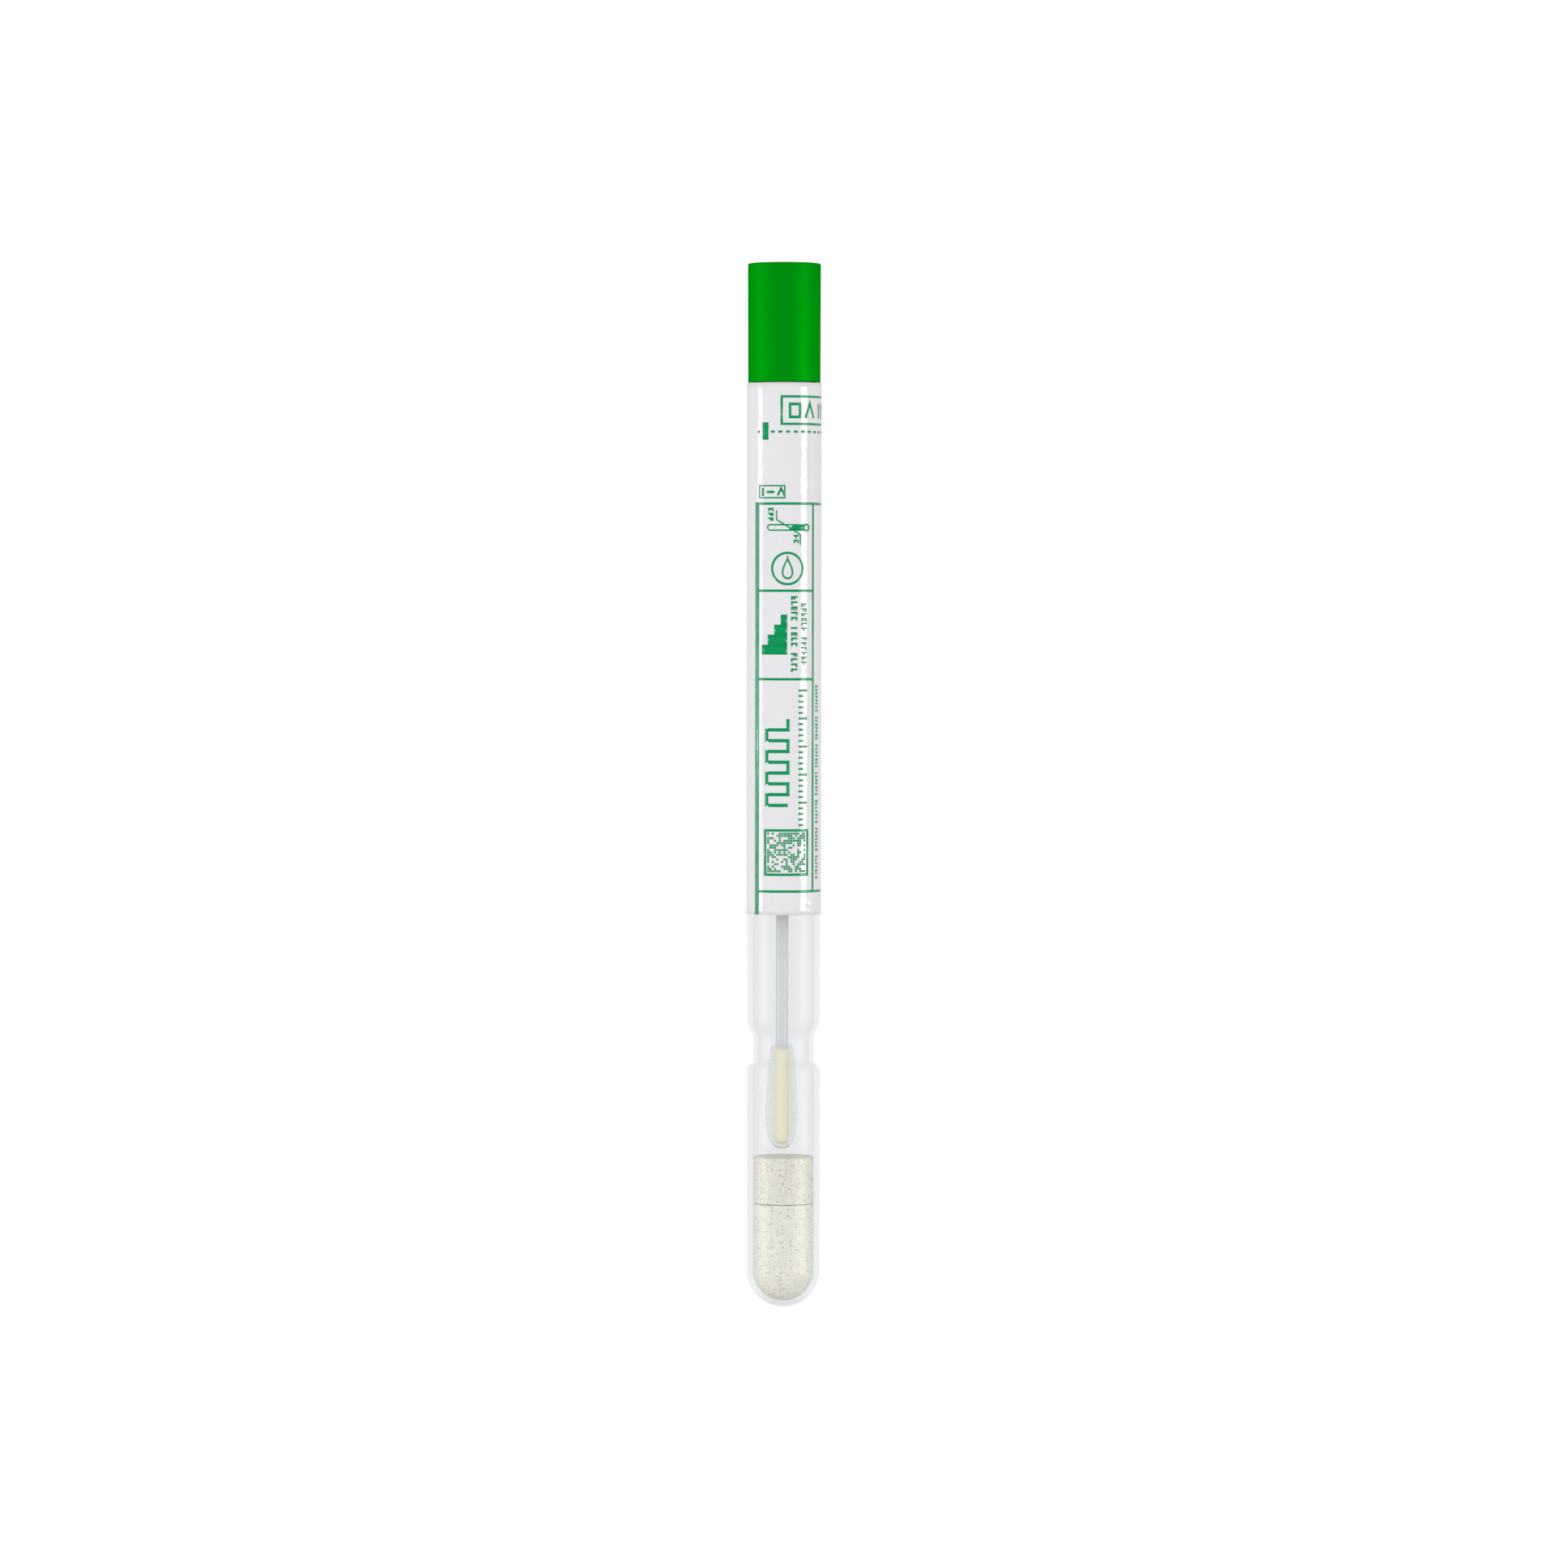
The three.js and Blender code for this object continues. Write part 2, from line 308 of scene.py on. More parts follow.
# %% Moulded skin group
def make_moulded_skin():
    tree, given, result = new_group(
        "moulded_skin",
        [
            ("Colour", "Color", (0.8, 0.8, 0.8, 1)),
            ("Drift", "Float", 0.04),
            ("Drift Scale", "Float", 120.0),
            ("Roughness", "Float", 0.35),
            ("Roughness Spread", "Float", 0.06),
            ("Grain", "Float", 0.05),
            ("Grain Scale", "Float", 2500.0),
        ],
        [("Colour", "Color"), ("Roughness", "Float"), ("Normal", "Vector")],
    )
    place = node(tree, "TexCoord").outputs["Object"]
    drift = noise(tree, drawn(tree, place, 0.25), given["Drift Scale"], 3.0)
    swing = reckon(tree, "MULTIPLY", reckon(tree, "SUBTRACT", drift, 0.5), given["Drift"])
    tone = reckon(tree, "ADD", swing, 1.0)
    toned = node(tree, "VectorMath", {0: given["Colour"], "Scale": tone}, operation="SCALE").outputs[0]
    uneven = reckon(tree, "SUBTRACT", noise(tree, place, 900.0, 4.0), 0.5)
    spread = reckon(tree, "MULTIPLY", uneven, given["Roughness Spread"])
    rough = reckon(tree, "ADD", given["Roughness"], spread, use_clamp=True)
    grain = noise(tree, place, given["Grain Scale"], 3.0)
    tree.links.new(toned, result["Colour"])
    tree.links.new(rough, result["Roughness"])
    tree.links.new(bumps(tree, grain, given["Grain"], 0.05), result["Normal"])
    return tree


moulded_skin = make_moulded_skin()

# %% [markdown]
# ## Clear tube
# The tube is moulded in one piece: a hemisphere at one end, an open rim at the other, and a ring waist
# pressed in all round above the foam. It is one outline turned about the axis. The outline runs up the
# outside, over the rim and down the bore, so the wall has its true thickness.

# %% Tube shape
WALL = 1.0
BORE_RADIUS = TUBE_RADIUS - WALL
END_WALL = 1.0
RIM_BEND = 0.25
WAIST_RADIUS = 5.42
WAIST_BORE_RADIUS = 4.5
WAIST_BOTTOM, WAIST_LOWER, WAIST_UPPER, WAIST_TOP = 42.8, 43.85, 48.7, 50.9
WAIST_INSET = 0.35
WAIST_BEND = 0.45


def tube_outline():
    """The outside from the round end over the waist to the rim, and the bore back to its own round end."""
    end = arc(0, TUBE_RADIUS, TUBE_RADIUS, -90, 0, 32)
    bore_end = arc(0, END_WALL + BORE_RADIUS, BORE_RADIUS, 0, -90, 32)
    end[0, 0] = bore_end[-1, 0] = 0
    walls = rounded([
        (*end[-1], 0),
        (TUBE_RADIUS, WAIST_BOTTOM, WAIST_BEND),
        (WAIST_RADIUS, WAIST_LOWER, WAIST_BEND),
        (WAIST_RADIUS, WAIST_UPPER, WAIST_BEND),
        (TUBE_RADIUS, WAIST_TOP, WAIST_BEND),
        (TUBE_RADIUS, TUBE_RIM, RIM_BEND),
        (BORE_RADIUS, TUBE_RIM, RIM_BEND),
        (BORE_RADIUS, WAIST_TOP - WAIST_INSET, WAIST_BEND),
        (WAIST_BORE_RADIUS, WAIST_UPPER - WAIST_INSET, WAIST_BEND),
        (WAIST_BORE_RADIUS, WAIST_LOWER + WAIST_INSET, WAIST_BEND),
        (BORE_RADIUS, WAIST_BOTTOM + WAIST_INSET, WAIST_BEND),
        (*bore_end[0], 0),
    ])
    return np.vstack([end, walls[1:-1], bore_end])


# %% [markdown]
# ## Clear plastic
# The tube's plastic is clear with a faint grey haze, and so thin and even that it hardly bends what is seen
# through it. A Principled shader with full transmission and a low index gives that, and a soft coat over it
# gives the broad, blurred stripes of the lamps. The coat is a little uneven, as moulded plastic is. Lamps
# can't reach a thing through a refracting shell without much noise, so for shadow rays and diffuse rays the
# tube turns into a plain transparent sheet, and the swab and the foam inside are lit as through real plastic.
# The end is painted greyer: painted shade for how dark the round end looks, seen through its whole thickness.

# %% Clear plastic material
HAZE = 8.0  # how dense the haze is, for each metre of the way through it
# painted shade: heights between which the tube's colour darkens towards the round end
END_SHADE_FROM, END_SHADE_TO = 3.0, 0.3  # heights between which the end turns grey
# the first colour is the plastic's own tint, the second the painted shade at the round end
CLEAR, END_SHADE = (0.886, 0.893, 0.896, 1), (0.755, 0.766, 0.775, 1)


def let_light_in(tree, surface, shader, sheet, lets_through, density):
    """Joins a refracting shader to the surface, over a volume that absorbs. The volume leaves the colour
    lets_through, and density is how fast the rest is lost with each metre. To shadow rays and diffuse rays the
    surface is a transparent sheet of the colour sheet."""
    through = node(tree, "BsdfTransparent", {"Color": sheet})
    path = node(tree, "LightPath").outputs
    lit = reckon(tree, "MAXIMUM", path["Is Shadow Ray"], path["Is Diffuse Ray"])
    mix = node(tree, "MixShader", {0: lit, 1: shader.outputs[0], 2: through.outputs[0]})
    tree.links.new(mix.outputs[0], surface)
    loss = node(tree, "VolumeAbsorption", {"Color": lets_through, "Density": density})
    tree.links.new(loss.outputs[0], tree.nodes["Material Output"].inputs["Volume"])


def make_clear_plastic():
    made, tree, surface = new_material("clear_plastic")
    place = node(tree, "TexCoord").outputs["Object"]
    along = node(tree, "SeparateXYZ", {0: place}).outputs["Y"]
    # painted shade, darker towards the round end
    end = ramp(tree, along, AXIS.y + END_SHADE_FROM * MM, AXIS.y + END_SHADE_TO * MM)
    skin = place_group(tree, moulded_skin, {
        "Colour": blend(tree, end, CLEAR, END_SHADE), "Drift": 0.02, "Drift Scale": 60.0,
        "Roughness": 0.14, "Roughness Spread": 0.1,
    })
    plastic = node(tree, "BsdfPrincipled", {
        "Base Color": skin["Colour"], "Roughness": 0.0, "IOR": 1.005, "Transmission Weight": 1.0,
        "Coat Weight": skin["Roughness"], "Coat Roughness": 0.4, "Coat IOR": 1.5,
    })
    let_light_in(tree, surface, plastic, (0.99, 0.995, 1.0, 1), (0, 0.08, 0.08, 1), HAZE)
    return made


clear_tube = add_mesh("clear_tube", *turned(tube_outline(), sides=192), make_clear_plastic())
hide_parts("tube")
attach(clear_tube, "tube_body")

# %% [markdown]
# ## Film ripple
# A film wrapped by machine is never quite flat: it has a fine ripple, stretched along the tube. Nothing of it
# shows in plain light, but the reflection of a lamp in it breaks up at its edges. Film and print share it, so
# it is a node group that gives a normal.

# %% Film ripple group
def make_film_ripple():
    tree, given, result = new_group("film_ripple", [("Strength", "Float", 0.2)], [("Normal", "Vector")])
    place = node(tree, "TexCoord").outputs["Object"]
    place = drawn(tree, place, 0.6)
    fine, broad = noise(tree, place, 2200.0, 2.0), noise(tree, place, 650.0, 1.0)
    both = reckon(tree, "MULTIPLY_ADD", broad, 3.0, fine)
    tree.links.new(bumps(tree, both, given["Strength"], 0.02), result["Normal"])
    return tree


film_ripple = make_film_ripple()

# %% [markdown]
# ## Wrap label
# The label is one strip of film, wrapped once round the tube. Its free edge laps over its hidden end, and
# there it climbs by its own thickness. The strip is a sheet with two parameters, the angle round the tube and
# the height, and a Solidify modifier gives it its thickness, inwards from the printed face. Angles round the
# label are degrees from straight up, positive towards +X.

# %% Label shape
FILM = 0.12
ADHESIVE = 0.03
FREE_EDGE = -48.8
HIDDEN_END = 333.0
CLIMB_START, CLIMB_END = -19.0, -27.0  # where the film climbs over its hidden end


def film_radius(angle):
    """Distance of the printed face from the axis, one step higher past CLIMB_END, with a smooth climb."""
    share = np.clip((CLIMB_START - np.asarray(angle)) / (CLIMB_START - CLIMB_END), 0, 1)
    return LABEL_RADIUS + (FILM + ADHESIVE) * share * share * (3 - 2 * share)


def on_film(angle, height, lift=0.0):
    """Points on the printed face, or lifted off it: x = r sin a, y = height, z = r cos a."""
    reach = film_radius(angle) + lift
    turn = np.radians(angle)
    return np.column_stack([reach * np.sin(turn), height, reach * np.cos(turn)])


def thicken(piece, thickness):
    """Gives a sheet its thickness in millimetres, behind its face."""
    modifier = piece.modifiers.new("thickness", "SOLIDIFY")
    modifier.thickness = thickness * MM
    modifier.offset = -1
    modifier.use_even_offset = True


# %% [markdown]
# ## Label film and ink
# The film is white and glossy, so a lamp shows in it as a sharp stripe, and the ink has the same gloss. Where
# the print band runs along the cut edge, its ink has paler streaks: a painted highlight of the lap edge's
# broken gloss.

# %% Film and ink materials
FILM_IOR = 1.5
RIPPLE = 0.8
FILM_GREY, FILM_WHITE = (0.82, 0.812, 0.832, 1), (0.85, 0.842, 0.862, 1)
INK = (0.0, 0.335, 0.11, 1)
LIT_STREAK_INK = (0.10, 0.42, 0.24, 1)


def make_label_film():
    made, tree, surface = new_material("label_film")
    place = node(tree, "TexCoord").outputs["Object"]
    white = blend(tree, noise(tree, place, 350.0, 5.0), FILM_GREY, FILM_WHITE)
    ripple = place_group(tree, film_ripple, {"Strength": RIPPLE})["Normal"]
    film = node(tree, "BsdfPrincipled", {
        "Base Color": white, "Roughness": 0.1, "Normal": ripple, "IOR": FILM_IOR,
    })
    tree.links.new(film.outputs[0], surface)
    return made


def make_ink(name, lit_streaks):
    """Ink under the film's gloss. The share given is painted paler in streaks along the tube: a painted
    highlight of the broken gloss along the lap edge.
    """
    made, tree, surface = new_material(name)
    place = node(tree, "TexCoord").outputs["Object"]
    streaks = noise(tree, drawn(tree, place, 0.2), 1500.0, 6.0, Roughness=0.7)
    # painted highlight: paler streaks stand for the lamp's broken reflection along the lap edge
    tone = blend(tree, ramp(tree, streaks, 0.62 - lit_streaks * 0.3, 0.8 - lit_streaks * 0.25), INK, LIT_STREAK_INK)
    ripple = place_group(tree, film_ripple, {"Strength": RIPPLE})["Normal"]
    ink = node(tree, "BsdfPrincipled", {
        "Base Color": tone, "Roughness": 0.12, "Normal": ripple, "IOR": FILM_IOR,
    })
    tree.links.new(ink.outputs[0], surface)
    return made


# %% Wrap the label
label_angle = np.linspace(FREE_EDGE, HIDDEN_END, 316)
label_height = np.linspace(LABEL_TOP, LABEL_BOTTOM, 90)
around, along = np.meshgrid(label_angle, label_height)
wrap = add_mesh(
    "label_film",
    on_film(around.ravel(), along.ravel()),
    [grid_faces(len(label_height), len(label_angle))[:, ::-1]],
    make_label_film(),
)
thicken(wrap, FILM)
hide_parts("wrap_label")
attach(wrap, "tube_body")

# %% [markdown]
# ## Print
# The print is green line work: frames, a dashed line, a few plain signs and rows of small type. All of it is
# made of one kind of shape, the strip between two curves, so one function makes every mark: it joins point i
# of one curve to point i of the other. Curves are drawn flat, in millimetres: across from straight up, and
# down from the label's top edge. The marks are wrapped on to the film just above its face. The names and
# words of the real label have generic stand-ins: plain bars for type, and code-like blocks.

# %% Print helpers
INK_LIFT = 0.02
FINE_STEP = 0.4  # longest straight piece across the curve of the label
marks = []


def strip(first, second):
    """A mark between two flat curves of as many points each: a grid, blended from one to the other."""
    first, second = np.atleast_2d(first).astype(float), np.atleast_2d(second).astype(float)
    widest = np.abs(first[:, 0] - second[:, 0]).max()
    count = max(2, math.ceil(widest / FINE_STEP) + 1)
    share = np.linspace(0, 1, count)[:, None, None]
    return first[None] + (second - first)[None] * share


def bar(left, right, top, bottom):
    """A plain rectangle."""
    marks.append(strip([(left, top), (left, bottom)], [(right, top), (right, bottom)]))


def box(left, right, top, bottom, line):
    """A rectangle's outline, with lines inside its edges."""
    bar(left, right, top, top + line)
    bar(left, right, bottom - line, bottom)
    bar(left, left + line, top + line, bottom - line)
    bar(right - line, right, top + line, bottom - line)


def ring(across, down, radius, line, steps=40):
    """A circle of a line's width. With line equal to radius it is a disc."""
    angle = np.linspace(0, 2 * np.pi, steps + 1)
    circle = np.column_stack([np.cos(angle), np.sin(angle)])
    centre = np.array([across, down])
    marks.append(strip(centre + circle * radius, centre + circle * (radius - line * 0.999)))


def stroke(points, line):
    """A line of even width along a few points. At each point it is cut along the middle of the turn."""
    points = finer(points, FINE_STEP)
    ahead = unit(np.diff(points, axis=0))
    before = np.vstack([ahead[:1], ahead])
    after = np.vstack([ahead, ahead[-1:]])
    side = unit(np.column_stack([-(before + after)[:, 1], (before + after)[:, 0]]))
    normal = np.column_stack([-after[:, 1], after[:, 0]])
    reach = line / 2 / (side * normal).sum(1, keepdims=True)
    marks.append(strip(points + side * reach, points - side * reach))


def type_row(across, top, bottom, tall, pitch, line, seed, words=1):
    """A row of small random signs along the tube, which spell nothing. Each is a tall bar with up to three
    short bars beside it, and places left out part the row."""
    spread = np.random.default_rng(seed)
    low, high = across - tall / 2, across + tall / 2
    count = int((bottom - top) / pitch)
    gaps = set(np.linspace(0, count, words + 1)[1:-1].round().astype(int))
    for step in range(count):
        start = top + step * pitch
        if step in gaps:
            continue
        bar(low, high, start, start + line)
        for level in (low, across - line / 2, high - line):
            if spread.random() < 0.55:
                bar(level, level + line, start + line, start + pitch * 0.72)


def on_angle(degrees):
    """Millimetres across the label's face for an angle round it."""
    return math.radians(degrees) * LABEL_RADIUS


# %% Lay out the print
PRINT_TOP = LABEL_TOP + 0.17  # the printer's zero lies just off the film's edge
LINE = 0.44
THIN = 0.26
LABEL_LENGTH = PRINT_TOP - LABEL_BOTTOM
BAND_EDGE = on_angle(-40.6)
FRAME_TOP, FRAME_BOTTOM = 21.75, 90.6
FIELD_LINE = on_angle(48.5)
FIELDS_END = on_angle(262)
FIELD_COUNT = 4


def top_marks():
    """A long box of plain signs, a dashed line all round with a solid block on it, and a small box."""
    box(on_angle(-5.8), on_angle(118), 2.5, 7.8, 0.42)
    stroke([(1.05, 6.35), (1.05, 4.05), (2.9, 4.05), (2.9, 6.35), (0.82, 6.35)], 0.5)
    stroke([(4.0, 6.5), (5.0, 3.95), (6.0, 6.5)], 0.5)
    for first in (7.4, 8.6, 9.8, 11.0):
        bar(first, first + 0.55, 3.9, 6.5)
    bar(on_angle(-34.5), on_angle(-24.5), 7.3, 10.4)
    for step in range(22):
        start = -2.45 + 1.39 * step
        bar(start, start + 0.76, 8.77, 9.17)
    bar(-5.05, -4.6, 8.77, 9.17)
    box(on_angle(-41), on_angle(2), 18.45, 20.85, THIN)
    bar(-4.15, -3.7, 18.95, 20.4)
    bar(-3.15, -1.75, 19.45, 19.9)
    stroke([(-1.15, 20.3), (-0.55, 19.05), (0.05, 20.3)], 0.4)


def frame_marks():
    """The big frame and its cross lines. Its left side is the band with painted highlight streaks, a piece of
    its own.
    """
    bar(on_angle(FREE_EDGE), FIELDS_END, FRAME_TOP - LINE / 2, FRAME_TOP + LINE / 2)
    bar(BAND_EDGE, FIELDS_END, FRAME_BOTTOM, FRAME_BOTTOM + LINE)
    for level in (37.25, 53.0):
        bar(BAND_EDGE, FIELD_LINE, level - LINE / 2, level + LINE / 2)
    width = (FIELDS_END - FIELD_LINE) / FIELD_COUNT
    for field in range(FIELD_COUNT):
        left = FIELD_LINE + field * width
        bar(left, left + 0.5, FRAME_TOP, FRAME_BOTTOM)
        type_row(left + 1.45, 54.1 - 9 * (field % 2), 89.2, 0.9, 0.62, 0.26, seed=11 + field, words=7)
    bar(FIELDS_END - 0.5, FIELDS_END, FRAME_TOP, FRAME_BOTTOM + LINE)


def thermometer():
    """A lying thermometer: a long bulb outline, a filled column and two leader lines."""
    middle, left, right = 26.0, -2.5, 3.9
    turn = np.radians(np.linspace(90, 270, 9))
    end = np.column_stack([left + 0.48 * np.cos(turn), middle + 0.48 * np.sin(turn)])
    outline = np.vstack([[(right, middle + 0.48)], end, [(right, middle - 0.48)]])
    stroke(outline, THIN)
    low, high = middle - 0.4, middle + 0.4
    marks.append(strip([(1.6, low), (0.7, high)], [(right, low), (right, high)]))
    ring(right + 0.3, middle, 0.75, 0.4)
    stroke([(-1.35, 23.0), (-1.35, 24.6), (3.0, 27.3), (3.0, 29.1)], THIN)
    type_row(-2.4, 22.5, 25.1, 1.0, 0.85, 0.32, seed=1)
    type_row(2.2, 27.3, 29.7, 1.0, 0.85, 0.32, seed=4)


def drop_in_ring():
    """A ring with a plain drop: a belly whose sides run together in a point, r = sin(t/2) to a power."""
    centre = np.array([0.63, 33.3])
    ring(*centre, 3.0, 0.42)
    turn = np.linspace(0, np.pi, 22)
    half_width = 1.25 * np.sin(turn) * np.sin(turn / 2) ** 1.4
    level = -1.75 * np.cos(turn)
    left, right = (centre + np.column_stack([side * half_width, level]) for side in (-1, 1))
    stroke(np.vstack([left, right[-2:0:-1], left[:2]]), 0.34)


def stepped_block():
    """A solid block cut as a plain flight of four even steps."""
    right, top, tread, rise = 0.57, 41.5, 1.17, 1.78
    for step in range(4):
        bar(right - tread * (step + 1), right, top + rise * step, top + rise * (step + 1))


def meander():
    """A plain square wave: one bold line that turns from side to side as it runs down."""
    left, right, top, tooth, teeth = -3.1, 0.75, 60.1, 1.92, 8
    turns = [
        (left if step // 2 % 2 else right, top + tooth * ((step + 1) // 2))
        for step in range(2 * teeth + 1)
    ]
    stroke(turns, 0.6)


def scale_marks():
    """A plain scale: a fine tick each millimetre and a longer one every fifth."""
    for step in range(25):
        bar(2.7, 3.6 if step % 5 else 4.4, 54.8 + step, 55.18 + step)


def cell_block():
    """A square block of small cells, filled at random, in a frame."""
    cell, count, left, top = 0.42, 17, -3.6, 79.7
    filled = np.random.default_rng(8).random((count, count)) < 0.55
    for row, column in np.argwhere(filled):
        across, down = left + 0.6 + column * cell, top + 0.6 + row * cell
        bar(across, across + cell * 0.86, down, down + cell * 0.86)
    box(left, left + count * cell + 1.2, top, top + count * cell + 1.2, 0.44)


top_marks()
frame_marks()
thermometer()
drop_in_ring()
stepped_block()
type_row(1.85, 38.2, 52.2, 1.2, 0.92, 0.34, seed=2, words=3)
type_row(3.75, 39.5, 51.2, 1.1, 0.86, 0.26, seed=3, words=2)
meander()
scale_marks()
cell_block()


def print_marks(name, drawn, material):
    """Wraps flat marks on to the film. Each mark is a grid, so its faces follow from its rows and columns."""
    first, points, faces = 0, [], []
    for mark in drawn:
        columns, rows = mark.shape[:2]
        flat = mark.reshape(-1, 2)
        points.append(on_film(np.degrees(flat[:, 0] / LABEL_RADIUS), PRINT_TOP - flat[:, 1], INK_LIFT))
        quads = grid_faces(columns, rows, first=first)
        edges = points[-1][quads - first]
        normal = np.cross(edges[:, 1] - edges[:, 0], edges[:, 3] - edges[:, 0])
        outwards = (normal[:, [0, 2]] * edges[:, 0][:, [0, 2]]).sum() > 0
        faces.append(quads if outwards else quads[:, ::-1])
        first += len(flat)
    made = add_mesh(name, np.vstack(points), faces, material)
    thicken(made, INK_LIFT * 0.9)
    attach(made, "tube_body")
    return made


print_marks("label_print", marks, make_ink("ink", lit_streaks=0.0))
band = strip(
    [(on_angle(FREE_EDGE) + 0.02, FRAME_TOP), (on_angle(FREE_EDGE) + 0.02, LABEL_LENGTH - 0.02)],
    [(BAND_EDGE, FRAME_TOP), (BAND_EDGE, LABEL_LENGTH - 0.02)],
)
# the band's ink carries the painted highlight streaks
print_marks("label_band", [band], make_ink("lit_streak_ink", lit_streaks=1.0))

# %% [markdown]
# ## Cap
# The cap is one moulding of satin green plastic: a solid crown, a hollow plug with two sealing beads that
# presses into the tube's mouth, and inside it a boss that grips the shaft. It is one turned outline, with
# every edge rounded as a mould rounds it. The plug shows only when the cap is pulled.

# %% Cap shape
SEAT_GAP = 0.05
CAP_SEAT = TUBE_RIM + SEAT_GAP
CAP_RADIUS_LOW = CAP_RADIUS - 0.06
CAP_ROOF = 1.8
PLUG_RADIUS = 5.38
PLUG_BORE_RADIUS = 4.4
PLUG_NOSE_RADIUS = 5.0
PLUG_LEAD = 0.9
BEAD_RADIUS = 5.45
BEAD_REACH = 0.4  # half its width
BEAD_HEIGHTS = (159.2, 162.2)
BOSS_RADIUS = 2.2
BOSS_BOTTOM = 159.0
SOCKET_RADIUS = 1.15
SOCKET_TOP = SHAFT_TOP + 0.2


def cap_outline():
    """From the socket's top down the boss, up into the plug, round its nose and beads, and over the crown."""
    beads = [
        corner
        for height in BEAD_HEIGHTS
        for corner in (
            (PLUG_RADIUS, height - BEAD_REACH, 0.2),
            (BEAD_RADIUS, height, 0.5),
            (PLUG_RADIUS, height + BEAD_REACH, 0.2),
        )
    ]
    return rounded([
        (0, SOCKET_TOP, 0),
        (SOCKET_RADIUS, SOCKET_TOP, 0.2),
        (SOCKET_RADIUS, BOSS_BOTTOM, 0.15),
        (BOSS_RADIUS, BOSS_BOTTOM, 0.25),
        (BOSS_RADIUS, CAP_TOP - CAP_ROOF, 0.4),
        (PLUG_BORE_RADIUS, CAP_TOP - CAP_ROOF, 0.4),
        (PLUG_BORE_RADIUS, PLUG_BOTTOM, 0.2),
        (PLUG_NOSE_RADIUS, PLUG_BOTTOM, 0.25),
        (PLUG_RADIUS, PLUG_BOTTOM + PLUG_LEAD, 0.5),
        *beads,
        (PLUG_RADIUS, CAP_SEAT, 0.12),
        (CAP_RADIUS_LOW, CAP_SEAT, 0.06),
        (CAP_RADIUS, CAP_TOP, 0.25),
        (0, CAP_TOP, 0),
    ])


def make_green_plastic():
    made, tree, surface = new_material("green_plastic")
    skin = place_group(tree, moulded_skin, {
        "Colour": (0.0, 0.288, 0.0042, 1), "Drift": 0.06, "Drift Scale": 90.0,
        "Roughness": 0.52, "Roughness Spread": 0.08, "Grain": 0.12, "Grain Scale": 2600.0,
    })
    plastic = node(tree, "BsdfPrincipled", {
        "Base Color": skin["Colour"], "Roughness": skin["Roughness"], "Normal": skin["Normal"],
        "Metallic": 0.16, "Specular IOR Level": 0.0, "Specular Tint": (0.0, 1.0, 0.08, 1),
    })
    tree.links.new(plastic.outputs[0], surface)
    return made


cap = add_mesh("green_cap", *turned(cap_outline()), make_green_plastic())
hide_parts("plug_cap")
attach(cap, "swab_body")

# %% [markdown]
# ## Swab shaft
# The shaft is a thin moulded rod of greyish, slightly milky plastic, held only in the cap's boss. It leans a
# little to one side and sags a little, and the bud goes with it: the same function tilts both, by a share of
# the way from the boss to the bud's end.

# %% Shaft
SWAB_LEAN = 0.35
SWAB_SAG = 0.7
SHAFT_RADIUS = 1.1


def leaning(points):
    """Shifts points sideways and down in proportion to how far along the swab they are below the boss."""
    drop = np.maximum(0, BOSS_BOTTOM - points[:, 1]) / (BOSS_BOTTOM - BUD_BOTTOM)
    return points - np.outer(drop, (SWAB_LEAN, 0, SWAB_SAG))


def make_shaft_plastic():
    made, tree, surface = new_material("shaft_plastic")
    skin = place_group(tree, moulded_skin, {
        "Colour": (0.722, 0.742, 0.739, 1), "Drift": 0.05, "Drift Scale": 200.0,
        "Roughness": 0.16, "Roughness Spread": 0.06, "Grain": 0.06, "Grain Scale": 2200.0,
    })
    plastic = node(tree, "BsdfPrincipled", {
        "Base Color": skin["Colour"], "Roughness": skin["Roughness"], "Normal": skin["Normal"],
        "IOR": 1.4,
    })
    tree.links.new(plastic.outputs[0], surface)
    return made


shaft_outline = finer(rounded([
    (0, SHAFT_BOTTOM, 0), (SHAFT_RADIUS, SHAFT_BOTTOM, 0.3), (SHAFT_RADIUS, BOSS_BOTTOM, 0),
    (SHAFT_RADIUS, SHAFT_TOP, 0.3), (0, SHAFT_TOP, 0),
]), 4.0)
shaft_points, shaft_faces = turned(shaft_outline, sides=64)
shaft = add_mesh("shaft", leaning(shaft_points), shaft_faces, make_shaft_plastic())
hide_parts("swab_shaft")
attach(shaft, "swab_body")

# %% [markdown]
# ## Fibre bud
# The bud is fibre wound round the shaft's end: a blunt end, a belly low down, a slow taper and a tight
# shoulder. Round the shaft it is packed and cream. Outwards the winding is looser and whiter, and lets light
# through. So it is built as the real one is wound: a packed core, loose fibres round it that grow fewer
# outwards, and two sheer layers, which stand for the turns too fine to draw. The inner one is solid and
# cream, so the cream fades as the way through it gets shorter. The outer one is a thin wall, which hardly
# shows face-on. Where it is seen along its own thickness it draws the bud's grey outline: painted shade at
# the rim, where the white fibre turns away from the light.

# %% Bud shape
BUD_BELLY = 36.0
BUD_RADIUS = 2.85
BUD_NECK_RADIUS = 2.0
BUD_TAPER, BUD_SHOULDER, BUD_END = 1.4, 24, 2.8


def bud_radius(height):
    """A taper above the belly, closed by powers of the way to each end, which makes blunt round ends."""
    below = np.maximum(0, (BUD_BELLY - height) / (BUD_BELLY - BUD_BOTTOM))
    above = np.maximum(0, (height - BUD_BELLY) / (BUD_TOP - BUD_BELLY))
    taper = BUD_RADIUS - (BUD_RADIUS - BUD_NECK_RADIUS) * above**BUD_TAPER
    return taper * (1 - below**BUD_END) ** (1 / BUD_END) * (1 - above**BUD_SHOULDER) ** 0.5


